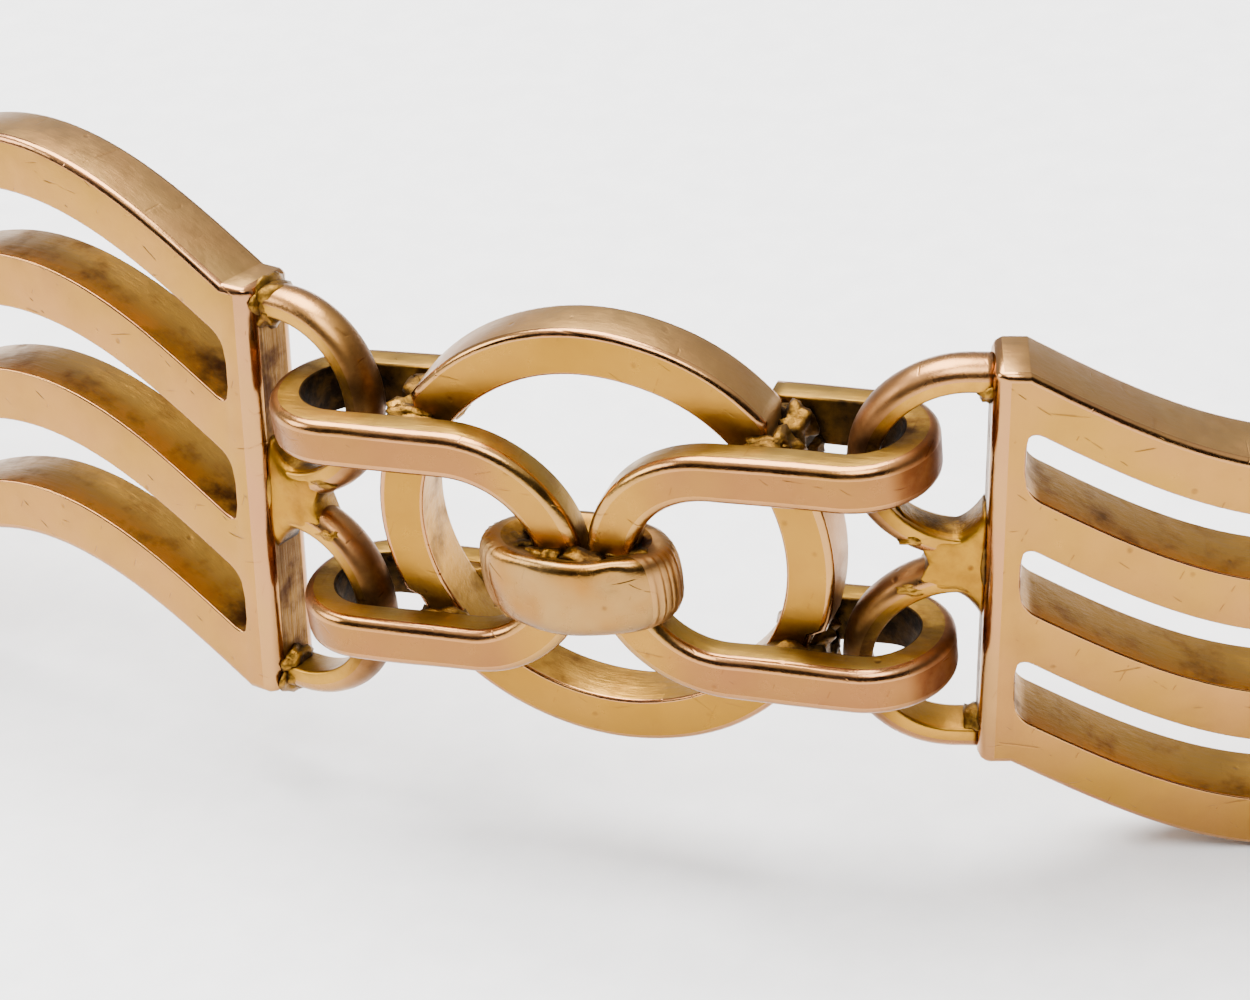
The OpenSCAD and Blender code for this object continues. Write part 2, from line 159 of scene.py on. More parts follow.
def gold(name, base, second, tarnish, grime=0.3, rough=0.3, streak=None, grain=0.15,
         scratches=0.6, pits=0.5, crevice=0.7, drift_size=0.35, far=None, near=None):
    """Worn gold. Its patterns run in the piece's own millimetres: drifts between two tints,
    tarnish in patches, tarnish with painted shade in crevices, fine scratches, pits and a
    grain. far is (from, to, strength) for a darkening towards the tarnish colour that grows
    with the distance along X from the piece's middle: tarnish with painted shade, and on the
    hairpins' outer bend tarnish with a painted reflection. near is (from, to, tint) for a tint
    at the middle that fades out with that distance."""
    mat = bpy.data.materials.new(name)
    mat.use_nodes = True
    new, join = node_tools(mat)
    where = new("ShaderNodeAttribute", attribute_name="local").outputs["Vector"]

    def maths(operation, a, b=None, c=None, clamp=False):
        n = new("ShaderNodeMath", operation=operation, use_clamp=clamp)
        for socket, value in zip(n.inputs, (a, b, c)):
            if hasattr(value, "is_output"):
                join(value, socket)
            elif value is not None:
                socket.default_value = value
        return n.outputs[0]

    def mapped(stretch, turn=(0, 0, 0)):
        m = new("ShaderNodeMapping")
        m.inputs["Scale"].default_value = stretch
        m.inputs["Rotation"].default_value = turn
        join(where, m.inputs["Vector"])
        return m.outputs[0]

    def noise_at(size, detail=3.0, stretch=(1, 1, 1), turn=(0, 0, 0)):
        n = new("ShaderNodeTexNoise", in_Scale=size, in_Detail=detail, in_Roughness=0.6)
        join(mapped(stretch, turn), n.inputs["Vector"])
        return n.outputs["Fac"]

    def beyond(start, end, most):
        """Grows from 0 to most between two distances along X from the piece's middle."""
        along = new("ShaderNodeSeparateXYZ")
        join(where, along.inputs[0])
        reach = new("ShaderNodeMapRange", interpolation_type="SMOOTHSTEP", in_From_Min=start,
                    in_From_Max=end, in_To_Max=most)
        join(maths("ABSOLUTE", along.outputs["X"]), reach.inputs["Value"])
        return reach.outputs[0]

    # Tint, and tarnish where it lies in patches; where the surface is shut in, tarnish and painted
    # shade
    drift = ramp(new, join, noise_at(drift_size, 2.0), [(0.35, 0.0), (0.65, 1.0)])
    colour = blend_colour(new, join, drift, base, second)
    if near:
        colour = blend_colour(new, join, beyond(near[0], near[1], 1.0), near[2], colour)
    patches = ramp(new, join, noise_at(1.1, 6.0), [(0.48, 0.0), (0.72, 1.0)])
    occlusion = new("ShaderNodeAmbientOcclusion", samples=6, in_Distance=SHUT_IN)
    shut = ramp(new, join, occlusion.outputs["AO"], [(0.3, 1.0), (0.9, 0.0)])
    mottle = ramp(new, join, noise_at(3.0, 6.0), [(0.3, 0.3), (0.6, 1.0)])
    crevice_tarnish_and_shade = maths("MULTIPLY", maths("MULTIPLY", shut, mottle), crevice)
    spread = maths("MULTIPLY_ADD", patches, grime, crevice_tarnish_and_shade, clamp=True)
    # Darkening with distance along X: tarnish and painted shade inside the hairpins' bend and at the
    # loops' far ends, and copper tarnish with a painted reflection on the hairpins' outer bend
    if far:
        broken = maths("MULTIPLY_ADD", mottle, 0.35, 0.65)
        spread = maths("MAXIMUM", spread, maths("MULTIPLY", beyond(*far), broken))

    # A scratch is a thin band of a turned coordinate, kept only where a noise stretched along
    # it is high.
    lines = None
    for angle, spacing, keep in SCRATCH_SETS:
        turn = (0, math.radians(angle), 0)
        split = new("ShaderNodeSeparateXYZ")
        join(mapped((1, 1, 1), turn), split.inputs[0])
        bent = maths("MULTIPLY_ADD", noise_at(0.5, 1.0), 0.12, split.outputs["Z"])
        band = maths("PINGPONG", maths("MULTIPLY", bent, 1 / spacing), 1.0)
        thin = ramp(new, join, band, [(0.0, 1.0), (0.04, 0.0)])
        short = ramp(new, join, noise_at(1.3, 2.0, (0.55, 1, 2.6), turn),
                     [(keep, 0.0), (keep + 0.03, 1.0)])
        scratch = maths("MULTIPLY", thin, short)
        lines = maths("MAXIMUM", lines, scratch) if lines else scratch
    cells = new("ShaderNodeTexVoronoi", in_Scale=1.6)
    join(where, cells.inputs["Vector"])
    chosen = new("ShaderNodeSeparateColor")
    join(cells.outputs["Color"], chosen.inputs[0])
    rare = ramp(new, join, chosen.outputs[0], [(0.62, 0.0), (0.64, 1.0)])
    pit = maths("MULTIPLY", ramp(new, join, cells.outputs["Distance"],
                                 [(0.05, 1.0), (0.12, 0.0)]), rare)
    marks = maths("ADD", maths("MULTIPLY", lines, 0.4 * scratches),
                  maths("MULTIPLY", pit, 0.6 * pits), clamp=True)
    colour = blend_colour(new, join, maths("ADD", spread, marks, clamp=True), colour, tarnish)

    # Height: a slow unevenness from hand finishing, a grain, scratches and pits
    height = maths("MULTIPLY", noise_at(0.8, 2.0), 1.3)
    height = maths("MULTIPLY_ADD", noise_at(9.0 if streak else 16.0, 5.0, streak or (1, 1, 1)),
                   grain, height)
    height = maths("MULTIPLY_ADD", noise_at(2.6, 4.0), 0.22, height)
    height = maths("MULTIPLY_ADD", lines, -0.3 * scratches, height)
    height = maths("MULTIPLY_ADD", pit, -0.6 * pits, height)
    bump = new("ShaderNodeBump", in_Strength=0.6, in_Distance=RELIEF)
    join(height, bump.inputs["Height"])

    uneven = maths("MULTIPLY_ADD", noise_at(2.4, 5.0), 0.24, rough - 0.1)
    dull = maths("MULTIPLY_ADD", spread, 0.3, uneven, clamp=True)
    shader = new("ShaderNodeBsdfPrincipled", in_Metallic=1.0)
    join(colour, shader.inputs["Base Color"])
    join(dull, shader.inputs["Roughness"])
    join(bump.outputs[0], shader.inputs["Normal"])
    out = new("ShaderNodeOutputMaterial")
    join(shader.outputs[0], out.inputs["Surface"])
    return mat


ROSE = (0.24, 0.098, 0.032)
TAN = (0.355, 0.18, 0.028)
YELLOW = (0.448, 0.217, 0.026)
OLIVE = (0.336, 0.194, 0.037)
BROWN = (0.055, 0.018, 0.003)
UMBER = (0.13, 0.05, 0.012)
COPPER = (0.11, 0.03, 0.006)
# Near-black tarnish, also painted shade on the solder and inside the hairpins' bend
DARK_TARNISH_AND_SHADE = (0.012, 0.007, 0.004)
ALONG = (0.12, 1, 1)
UPRIGHT = (1, 1, 0.08)

# crevice: how far shut-in surfaces are darkened towards the tarnish colour, tarnish and painted shade
FACE = gold("gold_face", TAN, (0.37, 0.175, 0.045), UMBER, grime=0.1, rough=0.30,
            scratches=1.2, pits=0.7, crevice=0.25)
EDGE = gold("gold_edge", (0.39, 0.18, 0.075), (0.39, 0.20, 0.062), UMBER, grime=0.06, rough=0.16,
            grain=0.06, scratches=0.5, pits=0.3, crevice=0.15)
WALL = gold("gold_wall", YELLOW, (0.352, 0.178, 0.03), BROWN, grime=0.8, rough=0.32,
            streak=ALONG, grain=0.6, scratches=0.2, pits=0.6, crevice=1.0)
RIM = gold("gold_rim", (0.37, 0.21, 0.066), (0.38, 0.19, 0.062), UMBER, grime=0.3, rough=0.34,
           streak=ALONG, grain=0.3, scratches=0.5, pits=0.7, crevice=0.6)
END = gold("gold_post_end", (0.256, 0.128, 0.022), (0.176, 0.085, 0.018), BROWN, grime=1.0,
           rough=0.32, streak=UPRIGHT, grain=1.0, scratches=0.2, pits=0.9, crevice=1.0)
# far on the hairpins' front faces and edges darkens the outer bend towards copper: copper tarnish and
# a painted reflection of the dark surroundings
LEG = gold("gold_leg", ROSE, (0.26, 0.12, 0.028), COPPER, grime=0.08, rough=0.27, grain=0.1,
           scratches=0.8, pits=0.6, crevice=0.4, far=(5.9, 6.3, 0.95),
           near=(1.0, 2.2, (0.33, 0.16, 0.024)))
LEG_EDGE = gold("gold_leg_edge", (0.40, 0.185, 0.075), (0.36, 0.17, 0.045), COPPER, grime=0.1,
                rough=0.18, grain=0.1, scratches=0.5, pits=0.4, crevice=0.3,
                far=(5.85, 6.3, 0.8), near=(1.0, 2.2, (0.38, 0.2, 0.05)))
LEG_SIDE = gold("gold_leg_side", OLIVE, (0.36, 0.186, 0.022), BROWN, grime=0.45, rough=0.3,
                streak=ALONG, grain=0.4, scratches=0.3, pits=0.6, crevice=0.9)
# far on the hairpins' inner faces darkens the inside of the bend, round the ring, nearly to black:
# tarnish and painted shade
LEG_IN = gold("gold_leg_inside", (0.272, 0.132, 0.018), (0.208, 0.101, 0.015), DARK_TARNISH_AND_SHADE, grime=0.7,
              rough=0.34, grain=0.6, scratches=0.2, pits=0.8, crevice=1.0,
              far=(3.4, 4.6, 0.96))
# far on the loops' wire darkens the far ends, where the loops wrap the ring: tarnish and painted shade
WIRE_OUT = gold("gold_wire", (0.368, 0.167, 0.063), (0.4, 0.198, 0.052), BROWN, grime=0.15,
                rough=0.24, grain=0.12, scratches=0.6, pits=0.6, crevice=0.7,
                far=(12.1, 13.4, 0.85))
WIRE_IN = gold("gold_wire_inside", YELLOW, (0.384, 0.194, 0.022), BROWN, grime=0.3, rough=0.3,
               grain=0.3, scratches=0.3, pits=0.6, crevice=1.0, far=(12.2, 13.3, 0.95))
BAND = gold("gold_band", (0.352, 0.155, 0.059), (0.4, 0.202, 0.067), UMBER, grime=0.1, rough=0.25,
            grain=0.1, scratches=0.8, pits=0.5, crevice=0.35)
GOLDEN = gold("gold_golden", (0.29, 0.14, 0.013), (0.32, 0.155, 0.02), UMBER, grime=0.12,
              rough=0.28, scratches=0.6, pits=0.6, crevice=0.8)
# Solder: golden with dark tarnish; its dark second tint and near-black tarnish are also painted shade,
# for the solder sits shaded in the joints
SOLDER = gold("gold_solder", (0.352, 0.174, 0.022), (0.16, 0.074, 0.012), DARK_TARNISH_AND_SHADE, grime=0.85,
              rough=0.26, grain=0.9, scratches=0.0, pits=1.0, crevice=1.0, drift_size=1.6)
WEB = gold("gold_web", (0.34, 0.165, 0.012), (0.30, 0.135, 0.010), COPPER, grime=0.55, rough=0.3,
           grain=0.35, scratches=0.4, pits=1.0, crevice=0.8, drift_size=0.7)
WORN = gold("gold_worn", (0.30, 0.165, 0.05), (0.27, 0.12, 0.022), UMBER, grime=0.2,
            rough=0.22, grain=0.15, scratches=0.8, pits=1.0, crevice=0.7, drift_size=0.8)
STEEL = gold("steel_spring", (0.40, 0.40, 0.42), (0.32, 0.32, 0.35), (0.10, 0.08, 0.06),
             grime=0.4, rough=0.35, grain=0.4, crevice=0.6)


# ---------------------------------------------------------------- mesh tools
class Shape:
    """Vertices and faces in a link's own millimetres, with a material number per face."""

    def __init__(self):
        self.verts, self.faces, self.mats = [], [], []

    def add(self, verts, faces, mats):
        base = len(self.verts)
        self.verts += [Vector(v) for v in verts]
        self.faces += [tuple(base + k for k in f) for f in faces]
        self.mats += list(mats) if isinstance(mats, (list, tuple)) else [mats] * len(faces)
        return self

    def wobble(self, amount, size, seed):
        """Hand-made unevenness: moves each vertex by a slow noise."""
        shift = Vector((seed * 3.7, seed * 1.3, seed * 2.1))
        for k, v in enumerate(self.verts):
            self.verts[k] = v + noise.noise_vector(v / size + shift) * amount


def add_to_scene(obj):
    bpy.context.scene.collection.objects.link(obj)
    return obj


def piece_object(mesh, own, materials, node, body):
    """A smooth object for a mesh that is in place, riding on its body and standing for its
    node. own is each vertex in the piece's own millimetres, for the materials."""
    for m in materials:
        mesh.materials.append(m)
    local = mesh.attributes.new("local", "FLOAT_VECTOR", "POINT")
    local.data.foreach_set("vector", [c for v in own for c in v])
    mesh.polygons.foreach_set("use_smooth", [True] * len(mesh.polygons))
    obj = add_to_scene(bpy.data.objects.new(mesh.name, mesh))
    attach(obj, body)
    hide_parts(node)
    return obj


def make_piece(name, shape, place, materials, node, body):
    """A piece from a shape, with its faces turned outwards."""
    mesh = bpy.data.meshes.new(name)
    mesh.from_pydata([place @ v for v in shape.verts], [], shape.faces)
    mesh.polygons.foreach_set("material_index", shape.mats)
    bm = bmesh.new()
    bm.from_mesh(mesh)
    bmesh.ops.recalc_face_normals(bm, faces=bm.faces)
    bm.to_mesh(mesh)
    bm.free()
    piece_object(mesh, shape.verts, materials, node, body)


def rounded_section(a0, a1, b0, b1, r_in, r_out):
    """A rectangle with rounded corners as [(a, b, part)]. a points outwards. part names the
    stretch that starts at the point: outer face, corner, side or inner face."""
    points, steps = [], 4
    corners = [
        (a1 - r_out, b0 + r_out, r_out, -90, "corner", "face"),
        (a1 - r_out, b1 - r_out, r_out, 0, "corner", "side"),
        (a0 + r_in, b1 - r_in, r_in, 90, "fold", "inner"),
        (a0 + r_in, b0 + r_in, r_in, 180, "fold", "side"),
    ]
    for a, b, r, start, turn, after in corners:
        for k in range(steps + 1):
            t = math.radians(start + 90 * k / steps)
            points.append((a + r * math.cos(t), b + r * math.sin(t),
                           turn if k < steps else after))
    return points


def sweep(path, outward, section, numbers, closed=False):
    """A section carried along a path. Its a axis follows outward and its b axis is square to
    that and to the path. numbers maps the section's part names to material numbers."""
    count, width = len(path), len(section)
    verts, faces, mats = [], [], []
    for k, p in enumerate(path):
        before = path[k - 1] if k or closed else path[k]
        after = path[(k + 1) % count] if k < count - 1 or closed else path[k]
        out = outward[k].normalized()
        side = (after - before).cross(out).normalized()
        verts += [p + out * a + side * b for a, b, _ in section]
    for k in range(count if closed else count - 1):
        n = (k + 1) % count
        for s in range(width):
            t = (s + 1) % width
            faces.append((k * width + s, k * width + t, n * width + t, n * width + s))
            mats.append(numbers[section[s][2]])
    if not closed:
        for k in (0, count - 1):
            middle = len(verts)
            verts.append(path[k].copy())
            for s in range(width):
                faces.append((k * width + s, k * width + (s + 1) % width, middle))
                mats.append(numbers["inner"])
    return verts, faces, mats


def lathe(profile, start, axis, across, turns):
    """A profile of (distance along the axis, radius) turned about an axis from start."""
    axis, across = axis.normalized(), across.normalized()
    third = axis.cross(across)
    verts, faces = [], []
    for d, r in profile:
        for k in range(turns):
            t = 2 * math.pi * k / turns
            verts.append(start + axis * d + (across * math.cos(t) + third * math.sin(t)) * r)
    for row in range(len(profile) - 1):
        for k in range(turns):
            n = (k + 1) % turns
            faces.append((row * turns + k, row * turns + n,
                          (row + 1) * turns + n, (row + 1) * turns + k))
    if profile[0] == profile[-1]:
        return verts, faces, 0
    for row, (d, _) in ((0, profile[0]), (len(profile) - 1, profile[-1])):
        middle = len(verts)
        verts.append(start + axis * d)
        for k in range(turns):
            faces.append((row * turns + k, row * turns + (k + 1) % turns, middle))
    return verts, faces, 0


def wire_ring(centre, normal, radius, wire):
    """A closed ring of round wire."""
    turns, sides = 72, 16
    normal = normal.normalized()
    a = normal.orthogonal().normalized()
    b = normal.cross(a)
    path, outward = [], []
    for k in range(turns):
        t = 2 * math.pi * k / turns
        outward.append(a * math.cos(t) + b * math.sin(t))
        path.append(centre + outward[-1] * radius)
    section = [(wire * math.cos(2 * math.pi * s / sides),
                wire * math.sin(2 * math.pi * s / sides), "face")
               for s in range(sides)]
    return sweep(path, outward, section, {"face": 0}, closed=True)


def blob(centre, radii, seed, rough):
    """A lump of solder: a sphere pushed about by noise."""
    bm = bmesh.new()
    bmesh.ops.create_icosphere(bm, subdivisions=3, radius=1.0)
    shift = Vector((seed * 5.3, seed * 2.9, seed * 7.7))
    verts = []
    for v in bm.verts:
        n = v.co.normalized()
        swell = (1 + rough * noise.noise(n * 1.6 + shift)
                 + 0.45 * rough * noise.noise(n * 4.5 + shift))
        verts.append(Vector((n.x * radii[0], n.y * radii[1], n.z * radii[2])) * swell
                     + Vector(centre))
    faces = [tuple(v.index for v in f.verts) for f in bm.faces]
    bm.free()
    return verts, faces


def round_edges(obj, width, segments, material):
    """Rounds the marked edges and keeps the flats flat."""
    bevel = obj.modifiers.new("round_edges", "BEVEL")
    bevel.limit_method = "WEIGHT"
    bevel.width = width * MM
    bevel.segments = segments
    bevel.material = material
    bevel.miter_outer = "MITER_ARC"
    bevel.harden_normals = False
    normals = obj.modifiers.new("flat_faces", "WEIGHTED_NORMAL")
    normals.keep_sharp = True
    normals.weight = 80


# Numbers of some materials in the lists that the pieces have
LOOP_SOLDER, LOOP_WEB, RING_SOLDER, COLLAR_SOLDER, FITTING_SOLDER = 2, 3, 4, 3, 1


# ---------------------------------------------------------------- gate panels
# Material numbers of a panel's faces, and how far each kind of edge between two of them is
# rounded, as a share of the widest
FRONT, SLOT_WALL, OUTER_RIM, POST_END = 0, 2, 3, 4
ROUNDING = {(FRONT, POST_END): 1.0, (FRONT, OUTER_RIM): 0.42, (OUTER_RIM, POST_END): 0.6,
            (FRONT, SLOT_WALL): 0.13}
WIDEST_ROUNDING = 0.32


def wave_z(u):
    """How far the bars' wave lies above the middle at a distance along the panel."""
    near = CREST_AT - POST_W
    if u <= POST_W or u >= GATE_LEN - POST_W:
        return 0.0
    if u < CREST_AT:
        return -WAVE * math.sin(math.pi / 2 * (u - POST_W) / near)
    if u <= GATE_LEN - CREST_AT:
        return -WAVE * math.cos(math.pi * (u - CREST_AT) / (GATE_LEN - 2 * CREST_AT))
    return WAVE * math.cos(math.pi / 2 * (u - GATE_LEN + CREST_AT) / near)


def slot_half(u):
    """Half a slot's height at a distance along the panel, with its rounded corners."""
    d = min(u - POST_W, GATE_LEN - POST_W - u)
    if d >= SLOT_R:
        return SLOT_H / 2
    return SLOT_H / 2 - SLOT_R + math.sqrt(max(SLOT_R ** 2 - (SLOT_R - max(d, 0)) ** 2, 0))


def gate_stations():
    """Distances along the panel: close together in the slots' corners, even between."""
    corner = [POST_W + SLOT_R * (1 - math.cos(math.radians(a))) for a in (0, 20, 40, 60, 75, 90)]
    inner = corner[-1]
    count = 76
    run = [inner + (GATE_LEN - 2 * inner) * k / count for k in range(1, count)]
    return [0.0] + corner + run + [GATE_LEN - u for u in reversed(corner)] + [GATE_LEN]


def gate_plate(i, n):
    """The pierced plate: one front layer of quads, pushed back to its depth, with each kind
    of edge rounded by its own amount."""
    us = gate_stations()
    bm = bmesh.new()
    rows = []
    for u in us:
        half = slot_half(u)
        levels = [GATE_H / 2]
        for k in (1, 0, -1):
            levels += [k * PITCH + half, k * PITCH - half]
        levels.append(-GATE_H / 2)
        rows.append([bm.verts.new((u - GATE_LEN / 2, -GATE_DEPTH / 2, wave_z(u) + z))
                     for z in levels])
    last = len(us) - 2
    for c in range(len(us) - 1):
        for r in range(7):
            if r % 2 == 0 or c in (0, last):
                a, b = rows[c], rows[c + 1]
                bm.faces.new((a[r], a[r + 1], b[r + 1], b[r]))
    front = bm.faces[:]
    made = bmesh.ops.extrude_face_region(bm, geom=front)["geom"]
    bmesh.ops.translate(bm, vec=(0, GATE_DEPTH, 0),
                        verts=[g for g in made if isinstance(g, bmesh.types.BMVert)])
    bmesh.ops.recalc_face_normals(bm, faces=bm.faces)
    end_x = GATE_LEN / 2 - 1e-4
    weight = bm.edges.layers.float.new("bevel_weight_edge")

    def kind(face):
        if abs(face.normal.y) > 0.5:
            return FRONT
        c = face.calc_center_median()
        if abs(c.x) > end_x:
            return POST_END
        u = c.x + GATE_LEN / 2
        return OUTER_RIM if abs(c.z - wave_z(u)) > GATE_H / 2 - 0.2 else SLOT_WALL

    kinds = {f: kind(f) for f in bm.faces}
    for f, k in kinds.items():
        f.material_index = k
    for e in bm.edges:
        pair = tuple(sorted({kinds[f] for f in e.link_faces}))
        e[weight] = ROUNDING.get(pair, 0.0)
    # The materials' patterns are shifted from panel to panel, so that no two look the same
    offset = Vector((n * 31.0, 0, 0))
    own = [v.co + offset for v in bm.verts]
    shift = Vector((n * 4.1, n * 2.3, 0))
    place = link_matrix(i)
    for v in bm.verts:
        v.co = place @ (v.co + noise.noise_vector(v.co / 5 + shift) * 0.02)
    mesh = bpy.data.meshes.new(f"gate_{n}_plate")
    bm.to_mesh(mesh)
    bm.free()
    plate = piece_object(mesh, own, (FACE, EDGE, WALL, RIM, END), f"gate_{n}", f"panel_{n}")
    round_edges(plate, WIDEST_ROUNDING, segments=4, material=1)


def loop_section():
    """Half-round wire: a flat inner face, short sides and a crowned outer face."""
    points = []
    inner, half = -LOOP_WIRE / 2, LOOP_DEPTH / 2
    crown_base = -0.02
    for k in range(13):
        t = math.pi * k / 12
        points.append((crown_base + (LOOP_WIRE / 2 - crown_base) * math.sin(t),
                       -half * math.cos(t), "face" if k < 12 else "side"))
    points.append((inner + 0.06, half, "fold"))
    points.append((inner + 0.015, half - 0.02, "fold"))
    points.append((inner, half - 0.07, "inner"))
    points.append((inner, -half + 0.07, "fold"))
    points.append((inner + 0.015, -half + 0.02, "fold"))
    points.append((inner + 0.06, -half, "side"))
    return points


def web_plate(end, seed):
    """The web that fills the fork between two loops' inner arms. It flares where it meets
    the post, follows the arms' inner curves and ends in a notch towards the open end."""
    rows, across, length = 25, 17, 1.6
    bore = LOOP_R - LOOP_WIRE
    shift = Vector((seed * 1.7, 3.1, seed))
    verts, faces = [], []
    for y_side in (-1, 1):
        for k in range(rows):
            u = length * k / (rows - 1)
            half = LOOP_Z - math.sqrt(bore ** 2 - max(u - LOOP_STRAIGHT, 0) ** 2) + 0.04
            half += 0.55 * max(1 - u / 0.6, 0) ** 2
            for m in range(across):
                v = 2 * m / (across - 1) - 1
                notch = 0.6 * (u / length) ** 2 * (1 - abs(v)) ** 0.8
                thick = LOOP_DEPTH / 2 + 0.05 - 0.16 * abs(v) ** 6 - 0.045 * u * u
                thick += 0.03 * noise.noise(Vector((u * 1.6, y_side, v * 1.5)) + shift)
                edge = half * (1 + 0.03 * noise.noise(Vector((u * 2, v * 3, 1)) + shift))
                verts.append(Vector((end * (GATE_LEN / 2 + u - notch), y_side * thick,
                                     v * edge)))
    size = rows * across
    for k in range(rows - 1):
        for m in range(across - 1):
            a = k * across + m
            quad = (a, a + 1, a + across + 1, a + across)
            faces.append(quad)
            faces.append(tuple(size + q for q in reversed(quad)))
    mats = [LOOP_WEB] * len(faces)
    rim = list(range(across)) + [k * across + across - 1 for k in range(1, rows)]
    rim += [(rows - 1) * across + m for m in range(across - 2, -1, -1)]
    rim += [k * across for k in range(rows - 2, 0, -1)]
    for a, b in zip(rim, rim[1:] + rim[:1]):
        faces.append((a, b, size + b, size + a))
        mats.append(LOOP_SOLDER)
    return verts, faces, mats


def loop_path(end, s):
    """The middle line of the upper or lower loop at one end of a panel, from foot to foot,
    and its directions outwards."""
    middle_r = LOOP_R - LOOP_WIRE / 2
    foot_x, bend_x = GATE_LEN / 2 - 0.02, GATE_LEN / 2 + LOOP_STRAIGHT
    path, outward = [], []
    for k in range(4):
        path.append(Vector((foot_x + (bend_x - foot_x) * k / 4, 0, middle_r)))
        outward.append(Vector((0, 0, 1)))
    for k in range(41):
        t = math.radians(90 - 180 * k / 40)
        outward.append(Vector((math.cos(t), 0, math.sin(t))))
        path.append(Vector((bend_x, 0, 0)) + outward[-1] * middle_r)
    for k in range(1, 5):
        path.append(Vector((bend_x + (foot_x - bend_x) * k / 4, 0, -middle_r)))
        outward.append(Vector((0, 0, -1)))
    return ([Vector((end * p.x, 0, p.z + s * LOOP_Z)) for p in path],
            [Vector((end * o.x, 0, o.z)) for o in outward])


def loops(i, n):
    """Two loops and their solder at each end of a panel."""
    shape = Shape()
    numbers = {"face": 0, "side": 1, "fold": 1, "inner": 1}
    foot = GATE_LEN / 2

    def lump(centre, radii, seed, rough):
        shape.add(*blob(centre, radii, seed, rough), LOOP_SOLDER)

    for end in (-1, 1):
        for s in (-1, 1):
            shape.add(*sweep(*loop_path(end, s), loop_section(), numbers))
        seed = n * 10 + end
        shape.add(*web_plate(end, seed))
        lump((end * (foot - 0.02), 0, 0), (0.14, 0.5, 1.15), seed, 0.3)
        for s in (-1, 1):
            arm = s * LOOP_ARM_Z
            lump((end * (foot + 1.3), -0.29, s * 0.56), (0.3, 0.15, 0.13), seed + 4 * s, 0.4)
            if end > 0:
                lump((end * foot, 0, arm), (0.16, 0.53, 0.4), seed + s, 0.45)
                lump((end * (foot + 0.12), 0, arm), (0.34, 0.43, 0.31), seed + 2 * s, 0.3)
            lump((end * (foot + 0.04), -0.06, arm - 0.3 * s), (0.22, 0.38, 0.26),
                 seed + 3 * s, 0.5)
    shape.wobble(0.02, 1.4, n)
    make_piece(f"gate_{n}_end_loops", shape, link_matrix(i), (WIRE_OUT, WIRE_IN, SOLDER, WEB),
               f"gate_{n}_loops", f"panel_{n}")


# ---------------------------------------------------------------- knots
def ring(i, name, sides=(-1, 1)):
    """The flat ring and the solder that holds the hairpin legs to it. sides are the sides
    that have hairpins: -1 and 1, or one of them."""
    shape = Shape()
    mid = RING_R - RING_BAND / 2
    section = rounded_section(0.02 - RING_BAND / 2, RING_BAND / 2 - 0.02, 0.01 - RING_T / 2,
                              RING_T / 2 - 0.01, 0.06, 0.13)
    turns = 128
    outward = [Vector((math.cos(2 * math.pi * k / turns), 0, math.sin(2 * math.pi * k / turns)))
               for k in range(turns)]
    path = [o * mid for o in outward]
    numbers = {"face": 1, "corner": 2, "side": 0, "fold": 2, "inner": 3}
    shape.add(*sweep(path, outward, section, numbers, closed=True))
    for v in shape.verts:
        around = math.degrees(math.atan2(abs(v.z), abs(v.x)))
        crossed = any(v.x * x > 0 for x in sides)
        if crossed and math.hypot(v.x, v.z) > mid and FILED_FROM < around < FILED_TO:
            v.x *= FILED
            v.z *= FILED
    pad_x = math.sqrt(mid ** 2 - LEG_Z ** 2)
    gap = (RING_T / 2 + BEND_R) / 2

    def lump(centre, radii, seed, rough):
        shape.add(*blob(centre, radii, seed, rough), RING_SOLDER)

    for k, (x, z, y) in enumerate((x, z, y) for x in sides for z in (-1, 1) for y in (-1, 1)):
        lump((x * pad_x, y * gap, z * LEG_Z), (0.6, 0.3, 0.44), i * 9 + k, 0.4)
        lump((x * (pad_x + 0.26), y * 0.42, z * (LEG_Z + 0.12)), (0.38, 0.42, 0.4),
             i * 7 + k, 0.5)
        lump((x * (pad_x + 0.1), y * 0.6, z * (LEG_Z + 0.32)), (0.38, 0.2, 0.18), i * 5 + k, 0.6)
    for x in sides:
        for z in (-1, 1):
            lump((x * (pad_x + 0.3), 0.7, z * LEG_Z - 0.44), (0.36, 0.24, 0.3),
                 i * 3 + x + 2 * z, 0.5)
    shape.wobble(0.03, 2.2, i)
    make_piece(f"{name}_hoop", shape, link_matrix(i), (GOLDEN, RIM, EDGE, WALL, SOLDER),
               f"{name}_ring", name)


def hairpin_path():
    """The strip's middle line from the front leg's end, round the bend, to the rear leg's."""
    centre = Vector((LEG_X + LEG_BEND, 0, LEG_Z - LEG_BEND))
    front = [Vector((LEG_X, -LEG_Y, LEG_END))]
    for k in range(25):
        t = math.radians(180 - 90 * k / 24)
        front.append(Vector((centre.x + LEG_BEND * math.cos(t), -LEG_Y,
                             centre.z + LEG_BEND * math.sin(t))))
    front += [Vector((centre.x + (BEND_X - centre.x) * k / 8, -LEG_Y, LEG_Z))
              for k in range(1, 8)]
    outward = [Vector((0, -1, 0))] * len(front)
    bend = []
    for k in range(33):
        t = math.radians(-90 + 180 * k / 32)
        o = Vector((math.cos(t), math.sin(t), 0))
        outward.append(o)
        bend.append(Vector((BEND_X, 0, LEG_Z)) + o * LEG_Y)
    rear = [Vector((BEND_X + (STUB_X - BEND_X) * k / 8, LEG_Y, LEG_Z)) for k in range(1, 9)]
    outward += [Vector((0, 1, 0))] * len(rear)
    return front + bend + rear, outward


